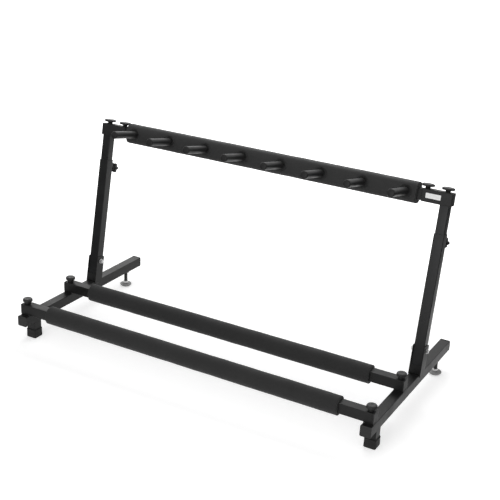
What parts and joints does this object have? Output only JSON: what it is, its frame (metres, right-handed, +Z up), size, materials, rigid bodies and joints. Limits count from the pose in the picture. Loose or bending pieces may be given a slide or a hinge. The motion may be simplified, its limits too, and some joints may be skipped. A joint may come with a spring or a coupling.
{
  "type": "free-standing racket rack",
  "caption": "Free-standing folding rack with two padded lower bars and a leaning, height-adjustable frame whose padded top rail carries padded pegs that keep rackets apart.",
  "frame": {"origin": "on the floor under the middle of the rack's box, where it stands on its two rubber foot caps and two levelling feet", "axes": "+X along the bars to the right, +Y towards the back (the way the frame leans), +Z up"},
  "size_m": [1.005, 0.5112, 0.524],
  "materials": {
    "powder_coat": "satin black powder coat on steel tube",
    "plastic": "satin black moulded nylon",
    "rubber": "matt black rubber",
    "foam": "matt charcoal closed-cell foam",
    "grey_nylon": "satin grey moulded nylon",
    "zinc": "bright zinc plate",
    "dark_steel": "blackened steel"
  },
  "bodies": {
    "base": {"leg_left": "powder_coat", "leg_right": "powder_coat", "leg_cap_front_left": "plastic", "leg_cap_front_right": "plastic", "leg_cap_rear_left": "plastic", "leg_cap_rear_right": "plastic", "foot_cap_left": "rubber", "foot_cap_right": "rubber", "level_nut_left": "dark_steel", "level_nut_right": "dark_steel", "bar_front": "powder_coat", "bar_rear": "powder_coat", "bar_foam_front": "foam", "bar_foam_rear": "foam", "bar_plug_front_left": "plastic", "bar_plug_front_right": "plastic", "bar_plug_rear_left": "plastic", "bar_plug_rear_right": "plastic", "pivot_bolt_left": "zinc", "pivot_bolt_right": "zinc", "pivot_nut_left": "zinc", "pivot_nut_right": "zinc"},
    "frame": {"upright_outer_left": "powder_coat", "upright_outer_right": "powder_coat", "upright_plug_left": "plastic", "upright_plug_right": "plastic"},
    "head": {"upright_inner_left": "powder_coat", "upright_inner_right": "powder_coat", "top_plug_left": "plastic", "top_plug_right": "plastic", "corner_left": "powder_coat", "corner_right": "powder_coat", "rail": "powder_coat", "rail_foam": "foam", "peg_foam_1": "foam", "peg_foam_2": "foam", "peg_foam_3": "foam", "peg_foam_4": "foam", "peg_foam_5": "foam", "peg_foam_6": "foam", "peg_foam_7": "foam", "peg_foam_8": "foam"},
    "level_foot_left": {"level_disc_left": "grey_nylon", "level_stud_left": "dark_steel"},
    "level_foot_right": {"level_disc_right": "grey_nylon", "level_stud_right": "dark_steel"},
    "clamp_front_left": {"clamp_knob_front_left": "plastic"},
    "clamp_front_right": {"clamp_knob_front_right": "plastic"},
    "clamp_rear_left": {"clamp_knob_rear_left": "plastic"},
    "clamp_rear_right": {"clamp_knob_rear_right": "plastic"},
    "height_lock_left": {"height_knob_left": "plastic"},
    "height_lock_right": {"height_knob_right": "plastic"},
    "corner_lock_left": {"corner_knob_left": "plastic"},
    "corner_lock_right": {"corner_knob_right": "plastic"},
    "rail_lock_left": {"rail_knob_left": "plastic"},
    "rail_lock_right": {"rail_knob_right": "plastic"}
  },
  "joints": [
    {"name": "fold", "type": "hinge", "parent": "base", "child": "frame", "pos_m": [0, 0.05852, 0.12715], "axis": [1, 0, 0], "range_deg": [0, 97]},
    {"name": "height", "type": "slide", "parent": "frame", "child": "head", "axis": [0, 0.1736, 0.9848], "range_m": [-0.066, 0.09]},
    {"name": "level_left", "type": "hinge", "parent": "base", "child": "level_foot_left", "pos_m": [-0.4817, 0.2, 0], "axis": [0, 0, 1], "continuous": true},
    {"name": "level_right", "type": "hinge", "parent": "base", "child": "level_foot_right", "pos_m": [0.4817, 0.2, 0], "axis": [0, 0, 1], "continuous": true},
    {"name": "clamp_front_left_turn", "type": "hinge", "parent": "base", "child": "clamp_front_left", "pos_m": [-0.4817, -0.2309, 0.1017], "axis": [0, 0, 1], "continuous": true},
    {"name": "clamp_front_right_turn", "type": "hinge", "parent": "base", "child": "clamp_front_right", "pos_m": [0.4817, -0.2309, 0.1017], "axis": [0, 0, 1], "continuous": true},
    {"name": "clamp_rear_left_turn", "type": "hinge", "parent": "base", "child": "clamp_rear_left", "pos_m": [-0.4817, -0.056, 0.1017], "axis": [0, 0, 1], "continuous": true},
    {"name": "clamp_rear_right_turn", "type": "hinge", "parent": "base", "child": "clamp_rear_right", "pos_m": [0.4817, -0.056, 0.1017], "axis": [0, 0, 1], "continuous": true},
    {"name": "height_lock_left_turn", "type": "hinge", "parent": "frame", "child": "height_lock_left", "pos_m": [-0.4817, 0.10375, 0.38368], "axis": [0, 0.9848, -0.1736], "continuous": true},
    {"name": "height_lock_right_turn", "type": "hinge", "parent": "frame", "child": "height_lock_right", "pos_m": [0.4817, 0.10375, 0.38368], "axis": [0, 0.9848, -0.1736], "continuous": true},
    {"name": "corner_lock_left_turn", "type": "hinge", "parent": "head", "child": "corner_lock_left", "pos_m": [-0.4817, 0.12528, 0.5058], "axis": [0, 0.1736, 0.9848], "continuous": true},
    {"name": "corner_lock_right_turn", "type": "hinge", "parent": "head", "child": "corner_lock_right", "pos_m": [0.4817, 0.12528, 0.5058], "axis": [0, 0.1736, 0.9848], "continuous": true},
    {"name": "rail_lock_left_turn", "type": "hinge", "parent": "head", "child": "rail_lock_left", "pos_m": [-0.4325, 0.12528, 0.5058], "axis": [0, 0.1736, 0.9848], "continuous": true},
    {"name": "rail_lock_right_turn", "type": "hinge", "parent": "head", "child": "rail_lock_right", "pos_m": [0.4325, 0.12528, 0.5058], "axis": [0, 0.1736, 0.9848], "continuous": true}
  ]
}
